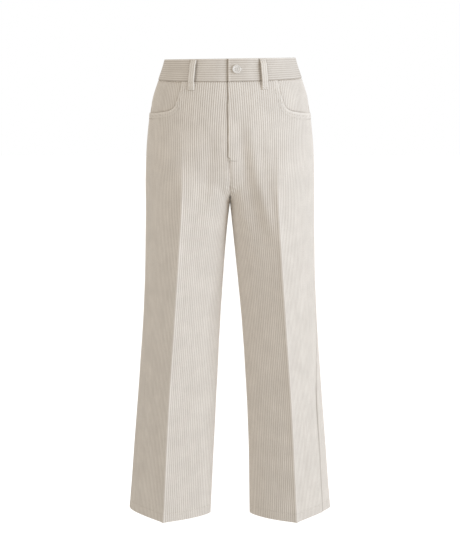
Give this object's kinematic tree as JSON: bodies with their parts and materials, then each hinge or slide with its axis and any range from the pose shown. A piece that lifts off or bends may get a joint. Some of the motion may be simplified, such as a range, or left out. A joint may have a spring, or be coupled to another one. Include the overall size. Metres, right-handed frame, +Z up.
{
  "type": "corduroy trousers",
  "caption": "High-waisted wide-leg corduroy trousers with pressed creases, filled out as worn with an open waist and open hems.",
  "frame": {"origin": "centre of the waist opening, level with the waistband's top edge, where the wearer's waist holds the trousers up", "axes": "+Z up through the waist, front faces -Y, +X to the wearer's left"},
  "size_m": [0.4356, 0.2224, 0.967],
  "materials": {
    "corduroy": "cream cotton corduroy, soft ribbed pile, matt with a faint sheen",
    "button": "pale off-white, semi-gloss"
  },
  "bodies": {
    "root": {"front_left": "corduroy", "front_right": "corduroy", "back_left": "corduroy", "back_right": "corduroy", "pocket_facing_left": "corduroy", "pocket_facing_right": "corduroy", "waistband_left": "corduroy", "waistband_right": "corduroy", "belt_loop_front_left": "corduroy", "belt_loop_front_right": "corduroy", "belt_loop_back_left": "corduroy", "belt_loop_back_right": "corduroy", "belt_loop_centre_back": "corduroy", "waist_button": "button"}
  },
  "joints": []
}
